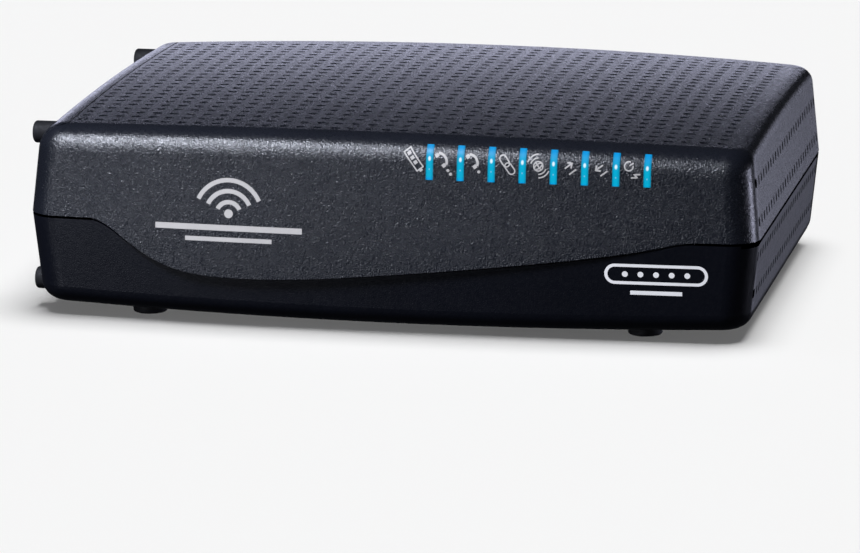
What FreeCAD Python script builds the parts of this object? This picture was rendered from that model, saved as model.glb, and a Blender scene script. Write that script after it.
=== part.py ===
"""Cable modem with telephone ports and a back-up battery, one STEP file per piece.

Model space: X runs across the front (positive to the right), Y from the front to the back,
Z up.  Its origin is on the seam plane, midway between the front corners.  Every piece is
moved by ROW_SHIFT when it is written, so that the row's origin is the middle of the
modem's footprint on the surface it stands on.
"""
import FreeCAD, Part
import math
import os
from FreeCAD import Vector

# ---------------------------------------------------------------- casing, millimetres
BODY_WIDTH = 216.0        # across the sides at the seam
BODY_DEPTH = 146.0        # front corners to back corners at the seam
FRONT_BOW = 3.4           # how far the middle of the front stands ahead of its corners
BACK_BOW = 11.3           # how far the middle of the back stands behind its corners
CORNER_RADIUS = 9.0       # upright corners, the same at every height
DRAFT = 0.095             # sides lean in by this much per millimetre away from the seam
WALL = 2.4
TOP_RISE = 29.2           # crown of the top above the seam
TOP_SAG_X = 1.45          # fall of the top at CROWN_HALF_X from its middle
TOP_SAG_Y = 1.32
CROWN_HALF_X = 95.0
CROWN_HALF_Y = 65.0
CROWN_MID_Y = 78.0
BOTTOM_DROP = 26.6        # underside below the seam at the sides
BOTTOM_SAG = 2.1          # how much lower the middle of the underside is
FRONT_TOP_RADIUS = 8.0
LEFT_TOP_RADIUS = 8.5
SIDE_TOP_RADIUS = 5.0     # along the right side and the back
BOTTOM_RADIUS = 6.0
HALF_TALL = 32.0          # each drafted half before its top or bottom is trimmed
TRIM_THICK = 60.0         # thickness of the crowned blocks that trim them
CROWN_SPAN_X = 130.0      # half size of the crowned blocks
CROWN_SPAN_Y = 110.0
CROWN_STEPS = 3           # spline points from the middle of a crowned block to its edge
SEAM_GAP = 0.7            # shadow gap between the two shells
SEAM_GAP_DEPTH = 1.5
FOOT_CLEAR = 1.6          # feet stand out this far below the lowest part of the underside

HALF_WIDTH = BODY_WIDTH / 2
SEAM_HEIGHT = BOTTOM_DROP + BOTTOM_SAG + FOOT_CLEAR
REACH = 200.0             # larger than the modem, for cutting tools

# Wavy front edge of the upper shell: (x, z) from the left, flat beyond both ends.
WAVE = [(-88.0, 0.0), (-79.3, -4.7), (-66.0, -12.6), (-45.0, -15.7), (0.0, -12.8),
        (45.0, -7.5), (82.0, -1.3), (92.0, 0.0)]
WAVE_START = (10.0, -2.0) # the wave's direction at its left end
APRON_DEPTH = 4.5         # the wave shapes only the front wall
APRON_DROP = 17.0         # the upper shell's front eases to upright this far below the seam
APRON_STEPS = 4

# ---------------------------------------------------------------- vent slots
SLOT_LONG = 2.8
SLOT_WIDE = 1.9
SLOT_MARGIN = 0.6         # how far the cutting tool passes the wall on either side
SLOT_PITCH_X = 5.127
SLOT_PITCH_Y = 5.083
SLOT_COLUMNS = 38
SLOT_ROWS = 25
GRID_MID_X = 0.8
GRID_MID_Y = 74.2
GRID_BOW = 5.8            # rows bow like the front and back edges
GRID_SHIFT = 1.05
SIDE_SLOT_LEVELS = (-16.2, -5.2, 5.0, 16.2)
SIDE_SLOT_COLUMNS = 26
SIDE_SLOT_START = 8.6
SIDE_INSET = 0.25         # lower shell's side is set in behind its front corner
SIDE_INSET_START = 7.2
SIDE_INSET_END = 7.5

# ---------------------------------------------------------------- status lights
LIGHT_NAMES = ("battery_light", "tel_2_light", "tel_1_light", "link_light",
               "online_light", "upstream_light", "downstream_light", "power_light")
LIGHT_FIRST_X = 12.9
LIGHT_PITCH = 9.03
LIGHT_WIDTH = 2.0
LIGHT_BOTTOM = 15.6
LIGHT_WRAP = math.radians(46)   # how far each light climbs round the front top edge
LIGHT_PROUD = 0.15
LIGHT_CLEAR = 0.1
LIGHT_ARM = 3.0           # height of the arm behind each light
LIGHT_ARM_CLEAR = 0.9     # from the front wall's inner face to the arm
LIGHT_COLUMN_Y = (8.0, 11.0)
LIGHT_TOOL = 20.0         # size of the wedge that marks out a light's place
LED_SIZE = (2.6, 1.6, 1.2)
LED_CLEAR = 0.3
HOLDER_Z = (-2.0, 3.0)
HOLDER_HALF_DEPTH = 2.7
HOLDER_END = 5.0          # bar past the middle of the end lights
HOLDER_LEG = 2.4

# ---------------------------------------------------------------- battery end
DOOR_EDGE_X = -97.0       # groove between the battery door and the shells
DOOR_FRONT_Y = 6.8
DOOR_GAP = 0.4
DOOR_WALL = 2.2
DOOR_CORNER = 3.0
STAND_FOOT_RADIUS = 3.3
STAND_FOOT_END = -108.9
STAND_FOOT_LENGTH = 8.0
STAND_FOOT_ROUND = 1.0
STAND_FOOT_Y = (14.0, 134.0)
STAND_FOOT_Z = (-22.0, 22.0)
BAY_Y = (31.0, 99.0)
BAY_X = (-94.0, -50.0)
BAY_Z = (-16.4, 14.8)
BAY_WALL = 1.6
TONGUE_Y = (18.0, 112.0)
TONGUE_WIDTH = 9.0
TONGUE_THICK = 2.6
TONGUE_REACH = 3.0        # tongues reach this far past the outer end of the bay
TONGUE_CLEAR = 0.5
END_WALL_INSET = 0.2      # fixed end walls run this far into the shells
NOSE_WALL = 2.0
PACK_CLEAR = 0.4
PACK_END_X = -101.5
PACK_ROUND = 2.0
CONTACT_PITCH = 8.0
CONTACT_WIDE = 2.0
CONTACT_THICK = 0.8
CONTACT_IN = 3.2          # blades reach this far into the bay from its outer face
CONTACT_OUT = 2.0
CONTACT_SLOT_HALF = 1.2
TAB_HALF = 7.0
TAB_THICK = 0.6
TAB_LOOP = 1.5
TAB_LOOP_Z = (3.6, 4.2)

# ---------------------------------------------------------------- rear panel
PANEL_HALF = 80.0
PANEL_Z = (-21.0, 9.0)
PANEL_Y = (142.0, 144.0)
PANEL_CLEAR = 0.15
FRAME_WALL = 2.0
FRAME_LIP = 2.2
FRAME_COVER = 1.5         # the recess's rim overlaps the panel by this much
PORT_CLEAR = 0.25
PANEL_VENTS = 27
PANEL_VENT_HALF = 0.7
PANEL_VENT_Z = (1.6, 6.0)

# ---------------------------------------------------------------- board
BOARD_TOP = -16.4
BOARD_THICK = 1.6
BOARD_X = (-93.0, 96.0)
BOARD_Y = (6.5, 138.0)
BOARD_SCREWS = ((-36.0, 20.0), (92.0, 76.0), (-36.0, 104.0), (48.0, 116.0))
CASE_SCREWS = ((-84.0, 20.0), (86.0, 20.0), (-84.0, 124.0), (86.0, 124.0))
BOTTOM_FEET = ((-74.0, 12.6), (74.0, 12.6), (-74.0, 134.0), (74.0, 134.0))
FOOT_RADIUS = 5.0
FOOT_ROUND = 0.5
FOOT_CLEARANCE = 0.2
FOOT_RECESS_TOP = -26.9

SCREW_RADIUS = 1.45
SCREW_HOLE = 1.6
CASE_SCREW_TIP = 10.0
CASE_HEAD_RADIUS = 2.9
CASE_HEAD_Z = (-24.6, -22.4)
HEAD_CLEARANCE = 0.3
CROSS_HALF = (1.7, 0.35)  # cross recess of a screw head, half length and half width
CROSS_DEPTH = 0.9
BOARD_SCREW_LENGTH = 7.0
BOARD_HEAD_RADIUS = 2.7
BOARD_HEAD_THICK = 1.9
UPPER_BOSS_RADIUS = 3.6
LOWER_BOSS_RADIUS = 5.0
BOSS_CLEAR = 0.4
BOARD_BOSS_RADIUS = 3.2

# ---------------------------------------------------------------- ports, seen from behind
COAX_X = -60.0
COAX_Z = -7.5
COAX_RADIUS = 4.76        # 3/8 inch thread
COAX_END_Y = 153.0
COAX_THREAD_Y = 146.4
COAX_BODY_HALF = 7.5
COAX_BODY_TOP = 6.9       # above the socket's axis
COAX_BODY_Y = (124.0, 141.9)
COAX_NECK_RADIUS = 4.4
COAX_BORE = 3.3
COAX_BORE_Y = 129.0
COAX_CONTACT_RADIUS = 0.9
COAX_CONTACT_BORE = 0.45
NUT_CORNER_RADIUS = 7.3
NUT_THICK = 2.3

JACK_FACE_Y = 144.3       # jacks stand just proud of the rear panel
PHONE_X = (-34.0, -16.0)
PHONE = dict(half=6.6, back=126.5, height=12.6, plug_half=4.95, plug_back=132.0,
             floor=3.0, ceiling=10.8, latch_half=1.8, latch_floor=1.3)
ETHERNET_X = 8.0
ETHERNET = dict(half=8.0, back=122.5, height=13.4, plug_half=5.95, plug_back=131.0,
                floor=3.2, ceiling=11.4, latch_half=3.1, latch_floor=1.4)
LATCH_BACK_Y = 133.0
WIRE_PITCH = 1.02
WIRE_WIDE = 0.44
WIRE_Y = (133.0, 142.5)
WIRE_SLOPE = 1.1          # the wires' back ends hang this far below their front ends
WIRE_THICK = 0.4

RESET_X = 28.0
RESET_Z = -8.0
RESET_RADIUS = 1.7
RESET_Y = (135.6, 143.4)
RESET_COLLAR_RADIUS = 3.0
RESET_COLLAR_Y = (140.2, 141.6)
RESET_CLEAR = 0.2
SWITCH_HALF = 3.0
SWITCH_Y = (130.6, 134.4)
SWITCH_TOP = -4.5

POWER_X = 58.0
POWER_HALF = 12.5
POWER_HEIGHT = 15.6
POWER_Y = (124.0, 144.6)
POWER_CAVITY_Y = 131.0
POWER_PIN_HALF = 4.3      # pins either side of the middle
POWER_LOBE_RADIUS = 4.25
POWER_WAIST_HALF = 3.3
PIN_RADIUS = 1.18
PIN_END_Y = 141.5
PIN_ROUND = 0.6

# ---------------------------------------------------------------- parts on the board
TRANSFORMER_AT = (70.0, 92.0)
CORE_HALF = (13.5, 5.5)
CORE_HEIGHT = 24.0
CORE_LEG_HALF = 4.0
CORE_BAR = 4.0            # thickness of the core above and below its windows
COIL_HALF = (9.1, 10.5)
COIL_CLEAR = 0.2
BOBBIN_HALF = (12.0, 11.0)
BOBBIN_THICK = 1.0
MAIN_CAPACITOR = (56.0, 62.0, 8.0, 30.0)      # x, y, radius, height
SMALL_CAPACITORS_X = 78.0
SMALL_CAPACITORS_Y = (46.0, 56.0, 66.0)
SMALL_CAPACITOR = (4.0, 16.0)                 # radius, height
CAN_ROUND = 0.8
CHOKE_AT = (47.4, 101.0)
CHOKE_RADII = (6.4, 3.0)
FUSE_START = (60.0, 118.0)
FUSE_LENGTH = 20.0
FUSE_RADIUS = 2.4
FUSE_RAISE = 3.0
CLIP_SIZE = (3.0, 5.2, 5.8)
CLIP_X = (58.0, 79.0)
CHIP_HEIGHT = 1.8
PROCESSOR_AT = (-4.0, 66.0)
PROCESSOR_HALF = 13.5
SINK_HALF = 19.0
SINK_BASE = 2.5
SINK_TOP = 2.0            # top of the processor's fins, level with this height
SINK_FINS = 9
FIN_THICK = 1.4
FIN_MARGIN = 0.8
MEMORY_AT = ((-4.0, 98.0), (16.0, 98.0))
MEMORY_SIZE = (5.0, 6.5, 1.2)                 # half width, half depth, height
RELAY_AT = ((-20.0, 114.0), (-6.0, 114.0))
RELAY_SIZE = (5.0, 7.0, 10.0)
POWER_SINK_X = (36.0, 38.0)
POWER_SINK_Y = (52.0, 96.0)
POWER_SINK_HEIGHT = 26.0
POWER_SINK_FIN_X = 31.0
POWER_SINK_FINS = 5
POWER_SINK_FIN_PITCH = 9.0
TUNER_X = (-74.0, -44.0)
TUNER_Y = (103.0, 121.0)
TUNER_HEIGHT = 7.5
TUNER_WALL = 0.5
OVERLAP = 0.1             # pieces of one solid run this far into each other


# ================================================================ helpers
def box(x_range, y_range, z_range):
    size = [high - low for low, high in (x_range, y_range, z_range)]
    return Part.makeBox(*size, Vector(x_range[0], y_range[0], z_range[0]))


def around(middle, half):
    return (middle - half, middle + half)


def post(x, y, z_range, radius):
    """Upright cylinder."""
    return Part.makeCylinder(radius, z_range[1] - z_range[0], Vector(x, y, z_range[0]))


def barrel(x, z, y_range, radius):
    """Cylinder along Y."""
    start = Vector(x, y_range[0], z)
    return Part.makeCylinder(radius, y_range[1] - y_range[0], start, Vector(0, 1, 0))


def rounded_box(x_range, y_range, z_range, radius):
    block = box(x_range, y_range, z_range)
    return block.makeFillet(radius, block.Edges)


def rim_at(solid, letter, place):
    """The edges of a solid that lie flat at a place along one axis."""
    return [edge for edge in solid.Edges
            if abs(getattr(edge.CenterOfMass, letter) - place) < OVERLAP and edge.Closed]


def joined(shapes):
    first = shapes[0]
    return first.fuse(list(shapes[1:])).removeSplitter()


def group(shapes):
    return Part.makeCompound(list(shapes))


def apron_spread(drop):
    """How far the upper shell's front stands ahead of the seam, at a drop below it."""
    return DRAFT * drop * (1 - drop / (2 * APRON_DROP))


WAVE_MIDDLE_DROP = -dict(WAVE)[0.0]
BOX_LIMITS_X = (STAND_FOOT_END, HALF_WIDTH)
BOX_LIMITS_Y = (-FRONT_BOW - apron_spread(WAVE_MIDDLE_DROP),
                BODY_DEPTH + BACK_BOW - DRAFT * (PANEL_Z[1] - FRAME_LIP))
ROW_SHIFT = Vector(-sum(BOX_LIMITS_X) / 2, -sum(BOX_LIMITS_Y) / 2, SEAM_HEIGHT)


def write(name, shape):
    piece = shape.copy()
    piece.translate(ROW_SHIFT)
    solids = len(piece.Solids)
    print(f"{name}: {solids} solid(s), {piece.Volume / 1000:.2f} cm3, valid {piece.isValid()}")
    piece.exportStep(os.path.join("parts", name + ".step"))


# ================================================================ casing surfaces
def sharp_outline():
    """The seam outline with sharp corners: bowed front and back, straight sides."""
    left, right = -HALF_WIDTH, HALF_WIDTH
    front = Part.Arc(Vector(left, 0, 0), Vector(0, -FRONT_BOW, 0), Vector(right, 0, 0))
    back = Part.Arc(Vector(right, BODY_DEPTH, 0), Vector(0, BODY_DEPTH + BACK_BOW, 0),
                    Vector(left, BODY_DEPTH, 0))
    right_side = Part.LineSegment(Vector(right, 0, 0), Vector(right, BODY_DEPTH, 0))
    left_side = Part.LineSegment(Vector(left, BODY_DEPTH, 0), Vector(left, 0, 0))
    edges = [curve.toShape() for curve in (front, right_side, back, left_side)]
    return Part.Wire(edges)


def outline(inset, height, lean):
    """Rounded outline at a height from the seam, moved in by inset and then by lean."""
    radius = CORNER_RADIUS - inset
    wire = sharp_outline().makeOffset2D(-(inset + lean + radius)).makeOffset2D(radius)
    wire.translate(Vector(0, 0, height))
    return wire


def top_height(x, y):
    across = (x / CROWN_HALF_X) ** 2
    along = ((y - CROWN_MID_Y) / CROWN_HALF_Y) ** 2
    return TOP_RISE - TOP_SAG_X * across - TOP_SAG_Y * along


def bottom_height(x):
    return -BOTTOM_DROP - BOTTOM_SAG * (1 - (x / HALF_WIDTH) ** 2)


def crowned_block(height_at, offset, thickness):
    """Block under (thickness < 0) or over a smooth height field."""
    shares = [step / CROWN_STEPS for step in range(-CROWN_STEPS, CROWN_STEPS + 1)]
    xs = [CROWN_SPAN_X * share for share in shares]
    ys = [CROWN_MID_Y + CROWN_SPAN_Y * share for share in shares]
    points = [[Vector(x, y, height_at(x, y) + offset) for y in ys] for x in xs]
    surface = Part.BSplineSurface()
    surface.interpolate(points)
    return surface.toShape().extrude(Vector(0, 0, thickness))


def rounded_rim(solid, face, radius_at):
    """Round every edge of one face; radius_at gives the radius at each edge's end."""
    document = FreeCAD.newDocument("rim")
    base = document.addObject("Part::Feature", "base")
    base.Shape = solid
    rim = document.addObject("Part::Fillet", "rim")
    rim.Base = base
    chosen = []
    for number, edge in enumerate(solid.Edges, start=1):
        if any(edge.isSame(other) for other in face.Edges):
            ends = [edge.valueAt(edge.FirstParameter), edge.valueAt(edge.LastParameter)]
            chosen.append((number, radius_at(ends[0]), radius_at(ends[1])))
    rim.Edges = chosen
    document.recompute()
    shape = rim.Shape.copy()
    FreeCAD.closeDocument("rim")
    return shape


def half_body(inset, direction):
    """The drafted half above (direction 1) or below (-1) the seam, before its rim."""
    far = outline(inset, direction * HALF_TALL, DRAFT * HALF_TALL)
    return Part.makeLoft([outline(inset, 0, 0), far], True, True)


def upper_body(inset):
    """The outer form above the seam, its top rim rounded more at the front and left."""
    def top_radius(end):
        on_left = end.x < CORNER_RADIUS / 2 - HALF_WIDTH
        share = min(max((CORNER_RADIUS - end.y) / (CORNER_RADIUS - DRAFT * TOP_RISE), 0), 1)
        eased = SIDE_TOP_RADIUS + (FRONT_TOP_RADIUS - SIDE_TOP_RADIUS) * share
        return (LEFT_TOP_RADIUS if on_left else eased) - inset

    block = half_body(inset, 1).common(crowned_block(top_height, -inset, -TRIM_THICK))
    top_face = max(block.Faces, key=lambda face: face.CenterOfMass.z)
    return rounded_rim(block, top_face, top_radius)


def lower_body(inset):
    """The outer form below the seam."""
    trim = crowned_block(lambda x, y: bottom_height(x), inset, TRIM_THICK)
    block = half_body(inset, -1).common(trim)
    bottom_face = min(block.Faces, key=lambda face: face.CenterOfMass.z)
    return rounded_rim(block, bottom_face, lambda end: BOTTOM_RADIUS - inset)


def body(inset):
    """The whole outer form, moved in by inset all round."""
    return upper_body(inset).fuse(lower_body(inset))


def apron_body():
    """Below the seam the upper shell's walls run on outwards, easing to upright."""
    sections = []
    for step in range(APRON_STEPS + 1):
        drop = APRON_DROP * step / APRON_STEPS
        sections.append(outline(0, -drop, -apron_spread(drop)))
    return Part.makeLoft(sections, True, False)


def above_seam(drop):
    """Everything above the seam line, lowered by drop; the front wall follows the wave."""
    curve = Part.BSplineCurve()
    points = [Vector(x, -REACH, z) for x, z in WAVE]
    start = Vector(WAVE_START[0], 0, WAVE_START[1])
    curve.interpolate(Points=points, InitialTangent=start, FinalTangent=Vector(start.x, 0, 0))
    right_end = points[-1] + Vector(0, 0, 1)
    left_end = points[0] + Vector(0, 0, 1)
    edges = [curve.toShape(), Part.makeLine(points[-1], right_end),
             Part.makeLine(right_end, left_end), Part.makeLine(left_end, points[0])]
    apron = Part.Face(Part.Wire(edges)).extrude(Vector(0, REACH + APRON_DEPTH, 0))
    block = box((-REACH, REACH), (-REACH, REACH), (0, REACH))
    zone = block.fuse(apron)
    zone.translate(Vector(0, 0, -drop))
    return zone


# ================================================================ casing pieces
def end_zone(edge_x, front_y):
    """The left end of the modem, taken up by the battery door, with its rounded corner."""
    block = box((-REACH, edge_x), (front_y, REACH), (-REACH, REACH))
    corner = Vector(edge_x, front_y, 0)
    upright = [edge for edge in block.Edges
               if edge.BoundBox.ZLength > REACH
               and (edge.CenterOfMass - corner).Length < DOOR_GAP]
    return block.makeFillet(DOOR_CORNER, upright)


def tongue_box(y, grow):
    """A guide tongue of the battery door, or the slot it enters when grown."""
    return box((DOOR_WALL / 2 - HALF_WIDTH, BAY_X[0] + TONGUE_REACH),
               (y - grow, y + TONGUE_WIDTH + grow), around(0, TONGUE_THICK / 2 + grow))


def end_walls():
    """Fixed walls behind the battery door, with the mouth of the battery bay."""
    behind = DOOR_EDGE_X + DOOR_GAP
    cross = box((behind, behind + WALL), (-REACH, REACH), (-REACH, REACH))
    nose_back = DOOR_FRONT_Y - DOOR_GAP
    nose = box((-REACH, behind + WALL), (nose_back - NOSE_WALL, nose_back), (-REACH, REACH))
    walls = body(WALL - END_WALL_INSET).common(cross.fuse(nose))
    mouth = box((-REACH, 0), (BAY_Y[0] + BAY_WALL, BAY_Y[1] - BAY_WALL),
                (BAY_Z[0] + BAY_WALL, BAY_Z[1] - BAY_WALL))
    slots = [tongue_box(y, TONGUE_CLEAR) for y in TONGUE_Y]
    return walls.cut([mouth] + slots)


def rear_frame(outer):
    """Walls of the recess round the rear panel, and the spaces to cut from it."""
    edge = PANEL_HALF + FRAME_WALL
    block = box(around(0, edge), (PANEL_Y[0] - FRAME_LIP, REACH),
                (PANEL_Z[0] - FRAME_WALL, PANEL_Z[1] + FRAME_WALL)).common(outer)
    view = PANEL_HALF - FRAME_COVER
    view_z = (PANEL_Z[0] + FRAME_COVER, PANEL_Z[1] - FRAME_COVER)
    recess = box(around(0, view), (PANEL_Y[0] - 2 * FRAME_LIP, REACH), view_z)
    pocket = box(around(0, PANEL_HALF + PANEL_CLEAR), PANEL_Y,
                 (PANEL_Z[0] - PANEL_CLEAR, PANEL_Z[1] + PANEL_CLEAR))
    return block, [recess, pocket]


def vent(start, long_way, through):
    """Round-ended slot from start along through; long_way is its long direction."""
    across = through.cross(long_way).normalize() * (SLOT_WIDE / 2)
    straight = long_way * ((SLOT_LONG - SLOT_WIDE) / 2)
    tip = long_way * (SLOT_LONG / 2)
    near_left, near_right = start - straight - across, start + straight - across
    far_left, far_right = start - straight + across, start + straight + across
    edges = [Part.makeLine(near_left, near_right),
             Part.Arc(near_right, start + tip, far_right).toShape(),
             Part.makeLine(far_right, far_left),
             Part.Arc(far_left, start - tip, near_left).toShape()]
    return Part.Face(Part.Wire(edges)).extrude(through)


def top_slots():
    """Vent slots of the top, in rows that bow with the front and back edges."""
    slots = []
    middle_row = (SLOT_ROWS - 1) / 2
    middle_column = (SLOT_COLUMNS - 1) / 2
    for row in range(SLOT_ROWS):
        along = (row - middle_row) / middle_row
        for column in range(SLOT_COLUMNS):
            x = GRID_MID_X + (column - middle_column) * SLOT_PITCH_X
            middle_share = 1 - (x / CROWN_HALF_X) ** 2
            y = GRID_MID_Y + (row - middle_row) * SLOT_PITCH_Y
            y += (GRID_BOW * along + GRID_SHIFT) * middle_share
            foot = Vector(x, y, top_height(x, y) - WALL - SLOT_MARGIN)
            slots.append(vent(foot, Vector(1, 0, 0), Vector(0, 0, WALL + 2 * SLOT_MARGIN)))
    return slots


def side_slots(levels):
    """Vent slots of the right side, standing upright in level rows."""
    inner_x = HALF_WIDTH - DRAFT * SIDE_SLOT_LEVELS[-1] - WALL - SLOT_MARGIN
    slots = []
    for level in levels:
        for column in range(SIDE_SLOT_COLUMNS):
            foot = Vector(inner_x, SIDE_SLOT_START + column * SLOT_PITCH_Y, level)
            slots.append(vent(foot, Vector(0, 0, 1), Vector(HALF_WIDTH + SLOT_MARGIN - inner_x, 0, 0)))
    return slots


def front_edge(x):
    """Y of the front at the seam."""
    return FRONT_BOW * ((x / HALF_WIDTH) ** 2 - 1)


def light_x(number):
    return LIGHT_FIRST_X + number * LIGHT_PITCH


def light_zone(x, grow):
    """The part of the front and of its rounded top edge that a light takes up."""
    reach = LIGHT_TOOL
    middle_y = front_edge(x) + DRAFT * (TOP_RISE - FRONT_TOP_RADIUS) + FRONT_TOP_RADIUS
    middle_z = top_height(x, middle_y) - FRONT_TOP_RADIUS
    low = LIGHT_BOTTOM - grow
    far_y = middle_y - reach * math.cos(LIGHT_WRAP)
    far_z = middle_z + reach * math.sin(LIGHT_WRAP) + grow
    corners = [(middle_y - reach, low), (middle_y, low), (middle_y, middle_z + grow),
               (far_y, far_z), (middle_y - reach, low)]
    half = LIGHT_WIDTH / 2 + grow
    face = Part.Face(Part.makePolygon([Vector(x - half, y, z) for y, z in corners]))
    return face.extrude(Vector(2 * half, 0, 0))


def hollow(form, cavity, frame, frame_spaces):
    """A form made into a shell, with the rear recess and the walls behind the door."""
    shell = form.cut(cavity).fuse(frame).cut(frame_spaces)
    shell = shell.cut(end_zone(DOOR_EDGE_X + DOOR_GAP / 2, DOOR_FRONT_Y - DOOR_GAP / 2))
    return shell.fuse(end_walls())


def shells(outer):
    """Upper and lower shell."""
    cavity = body(WALL)
    frame, frame_spaces = rear_frame(outer)
    upper_zone = above_seam(0)
    skirted = upper_body(0).fuse(apron_body())
    upper = hollow(skirted, cavity, frame, frame_spaces).common(upper_zone)
    lower = hollow(outer, cavity, frame, frame_spaces).cut(upper_zone)
    skin = outer.cut(body(SEAM_GAP_DEPTH))
    gap = skin.common(above_seam(SEAM_GAP).cut(upper_zone))
    return upper_shell(upper), lower_shell(lower.cut(gap), outer)


def upper_shell(part):
    bosses = []
    holes = []
    for x, y in CASE_SCREWS:
        bosses.append(post(x, y, (0, top_height(x, y) - WALL / 2), UPPER_BOSS_RADIUS))
        holes.append(post(x, y, (-1, CASE_SCREW_TIP + 1), SCREW_HOLE))
    part = part.fuse(bosses).cut(holes)
    part = part.cut([light_zone(light_x(number), LIGHT_CLEAR)
                     for number in range(len(LIGHT_NAMES))])
    levels = [level for level in SIDE_SLOT_LEVELS if level > 0]
    return part.cut(side_slots(levels) + top_slots())


def lower_shell(part, outer):
    bosses = []
    holes = []
    for x, y in CASE_SCREWS:
        bosses.append(post(x, y, (bottom_height(x) + WALL / 2, 0), LOWER_BOSS_RADIUS))
        holes.append(post(x, y, (-REACH, CASE_HEAD_Z[1]), CASE_HEAD_RADIUS + HEAD_CLEARANCE))
        holes.append(post(x, y, (-REACH, 1), SCREW_HOLE))
    for x, y in BOARD_SCREWS:
        standing = (bottom_height(x) + WALL / 2, BOARD_TOP - BOARD_THICK)
        bosses.append(post(x, y, standing, BOARD_BOSS_RADIUS))
        holes.append(post(x, y, (bottom_height(x) + WALL, 0), SCREW_HOLE))
    for x, y in BOTTOM_FEET:
        holes.append(post(x, y, (-REACH, FOOT_RECESS_TOP), FOOT_RADIUS + FOOT_CLEARANCE))
    part = part.fuse(bosses).cut(holes)
    inset_skin = outer.cut(body(SIDE_INSET))
    side = box((HALF_WIDTH - CORNER_RADIUS / 2, REACH),
               (SIDE_INSET_START, BODY_DEPTH - SIDE_INSET_END), (WALL - BOTTOM_DROP, 0))
    levels = [level for level in SIDE_SLOT_LEVELS if level < 0]
    return part.cut(inset_skin.common(side)).cut(side_slots(levels))


def stand_feet():
    """Short pegs on the left end, for standing the modem upright."""
    feet = []
    for y in STAND_FOOT_Y:
        for z in STAND_FOOT_Z:
            start = Vector(STAND_FOOT_END, y, z)
            peg = Part.makeCylinder(STAND_FOOT_RADIUS, STAND_FOOT_LENGTH, start, Vector(1, 0, 0))
            feet.append(peg.makeFillet(STAND_FOOT_ROUND, rim_at(peg, "x", STAND_FOOT_END)))
    return feet


def battery_door(outer, feet):
    wall = outer.cut(body(DOOR_WALL))
    door = wall.common(end_zone(DOOR_EDGE_X - DOOR_GAP / 2, DOOR_FRONT_Y + DOOR_GAP / 2))
    door = door.fuse([tongue_box(y, 0) for y in TONGUE_Y])
    return door.cut(feet)


def bottom_feet():
    feet = []
    for x, y in BOTTOM_FEET:
        foot = post(x, y, (-SEAM_HEIGHT, FOOT_RECESS_TOP), FOOT_RADIUS)
        feet.append(foot.makeFillet(FOOT_ROUND, rim_at(foot, "z", -SEAM_HEIGHT)))
    return feet


def case_screws():
    screws = []
    for x, y in CASE_SCREWS:
        head = post(x, y, CASE_HEAD_Z, CASE_HEAD_RADIUS)
        depth = (CASE_HEAD_Z[0] - 1, CASE_HEAD_Z[0] + CROSS_DEPTH)
        cross = [box(around(x, long_half), around(y, short_half), depth)
                 for long_half, short_half in (CROSS_HALF, CROSS_HALF[::-1])]
        shank = post(x, y, (CASE_HEAD_Z[1] - OVERLAP, CASE_SCREW_TIP), SCREW_RADIUS)
        screws.append(head.fuse(shank).cut(cross))
    return screws


# ================================================================ lights
def lights():
    """One light pipe per light: lens in the front, arm, and column down to its LED."""
    lens_skin = body(-LIGHT_PROUD).cut(body(WALL))
    pieces = {}
    for number, name in enumerate(LIGHT_NAMES):
        x = light_x(number)
        across = around(x, LIGHT_WIDTH / 2)
        lens = lens_skin.common(light_zone(x, 0))
        arm_top = LIGHT_BOTTOM + LIGHT_ARM
        arm_start = front_edge(x) + WALL + LIGHT_ARM_CLEAR
        arm = box(across, (arm_start, LIGHT_COLUMN_Y[1]), (LIGHT_BOTTOM, arm_top))
        column = box(across, LIGHT_COLUMN_Y, (BOARD_TOP + LED_SIZE[2] + LED_CLEAR, arm_top))
        pieces[name] = joined([lens, arm, column])
    return pieces


def light_middle_y():
    return sum(LIGHT_COLUMN_Y) / 2


def status_leds():
    y = light_middle_y()
    return [box(around(light_x(number), LED_SIZE[0] / 2), around(y, LED_SIZE[1] / 2),
                (BOARD_TOP, BOARD_TOP + LED_SIZE[2])) for number in range(len(LIGHT_NAMES))]


def light_holder():
    """Bar that keeps the light pipes apart, on two legs."""
    y = light_middle_y()
    depth = around(y, HOLDER_HALF_DEPTH)
    left, right = light_x(0) - HOLDER_END, light_x(len(LIGHT_NAMES) - 1) + HOLDER_END
    bar = box((left, right), depth, HOLDER_Z)
    legs = [box((left, left + HOLDER_LEG), depth, (BOARD_TOP, 0)),
            box((right - HOLDER_LEG, right), depth, (BOARD_TOP, 0))]
    half = LIGHT_WIDTH / 2 + LIGHT_CLEAR
    column_half = (LIGHT_COLUMN_Y[1] - LIGHT_COLUMN_Y[0]) / 2 + LIGHT_CLEAR
    holes = [box(around(light_x(number), half), around(y, column_half), (-REACH, REACH))
             for number in range(len(LIGHT_NAMES))]
    return joined([bar] + legs).cut(holes)


# ================================================================ battery
def battery_bay():
    """Box open towards the left end, standing on the board."""
    tray = box(BAY_X, BAY_Y, BAY_Z)
    room = box((-REACH, BAY_X[1] - BAY_WALL), (BAY_Y[0] + BAY_WALL, BAY_Y[1] - BAY_WALL),
               (BAY_Z[0] + BAY_WALL, BAY_Z[1] - BAY_WALL))
    half = around(0, CONTACT_SLOT_HALF)
    slots = [box((BAY_X[1] - BAY_WALL - 1, BAY_X[1] + 1), around(y, CONTACT_SLOT_HALF), half)
             for y in contact_rows()]
    return tray.cut([room] + slots)


def contact_rows():
    middle = sum(BAY_Y) / 2
    return [middle - CONTACT_PITCH, middle, middle + CONTACT_PITCH]


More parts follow.
